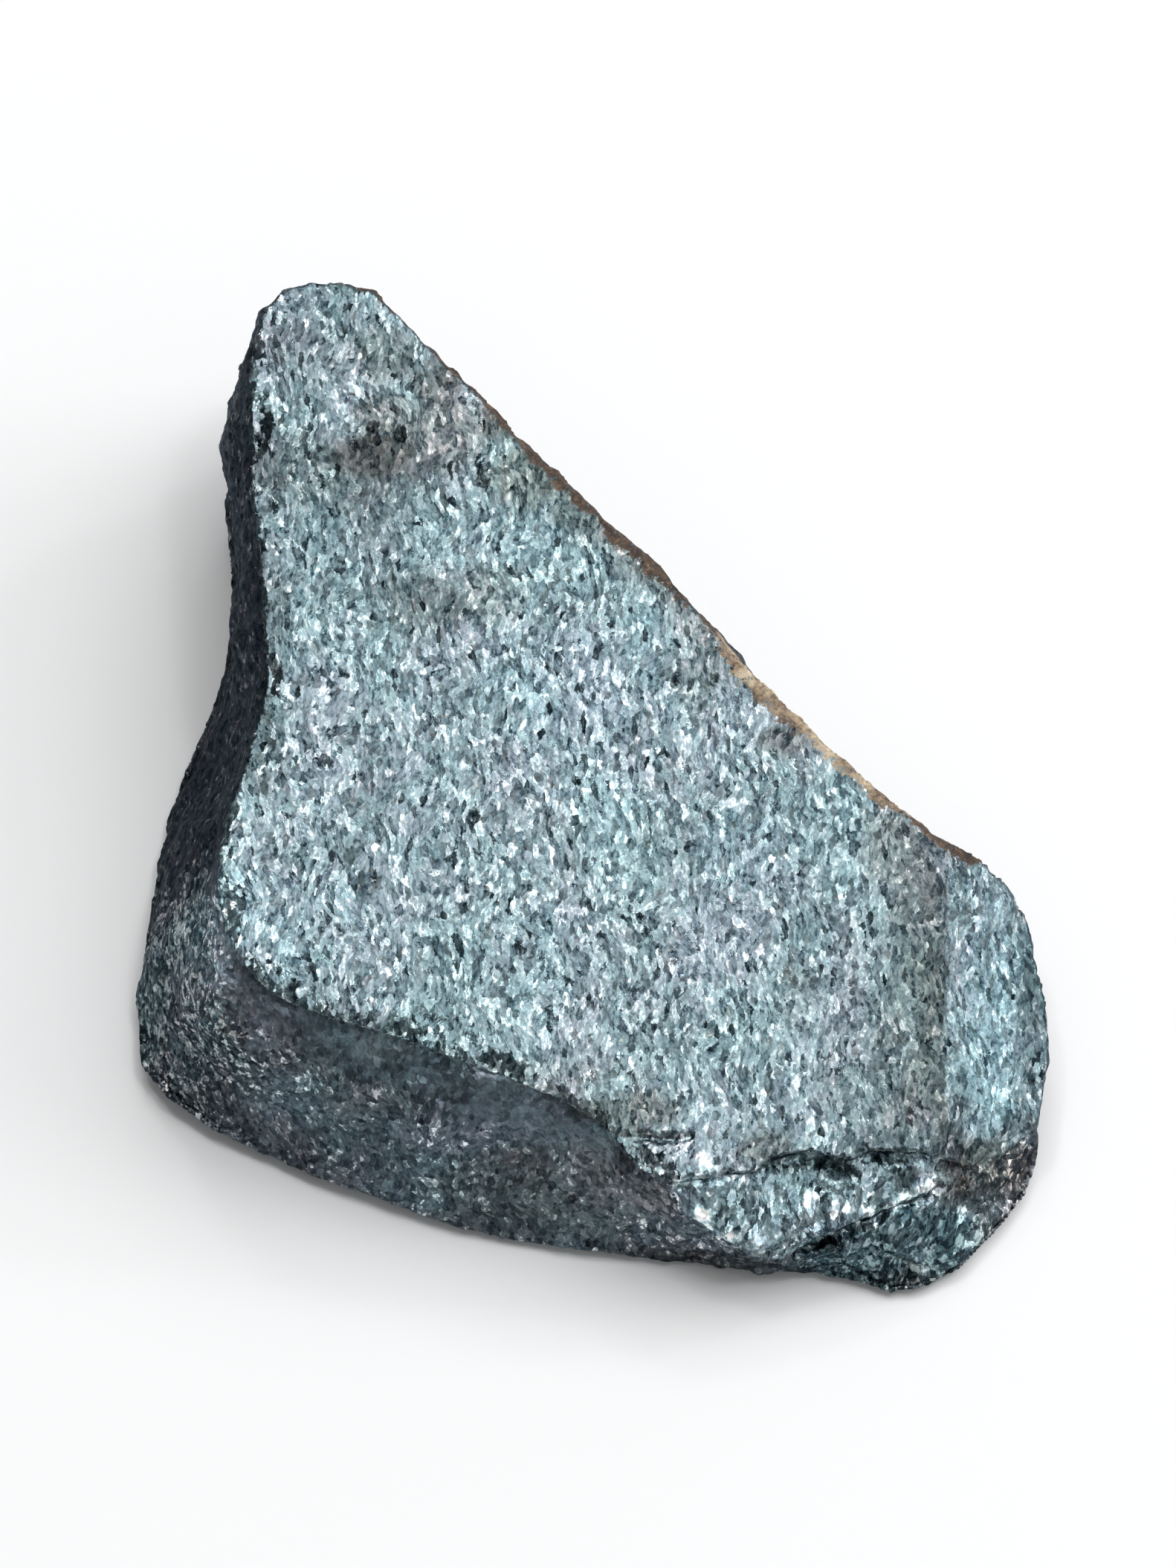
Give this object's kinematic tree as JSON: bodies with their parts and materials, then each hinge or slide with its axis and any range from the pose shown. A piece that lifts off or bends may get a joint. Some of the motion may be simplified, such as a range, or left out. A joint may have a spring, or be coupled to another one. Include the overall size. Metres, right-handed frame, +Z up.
{
  "type": "rough hematite",
  "caption": "Wedge-shaped piece of rough hematite, steel grey and glittering, with a broad flat top face, steep broken sides and a flat underside. It lies on a table or shelf.",
  "frame": {"origin": "middle of the bounding box, on the surface the stone rests on", "axes": "+Z up, +Y along the stone's length towards its narrow thick end, +X across it towards the small side face; the ledge of the split plate is at -Y and +X"},
  "size_m": [0.0316, 0.0374, 0.0108],
  "materials": {
    "hematite": "rough broken, metallic, glittering with fine flakes, brown iron stain along the back right edge"
  },
  "bodies": {
    "root": {"stone": "hematite"}
  },
  "joints": []
}
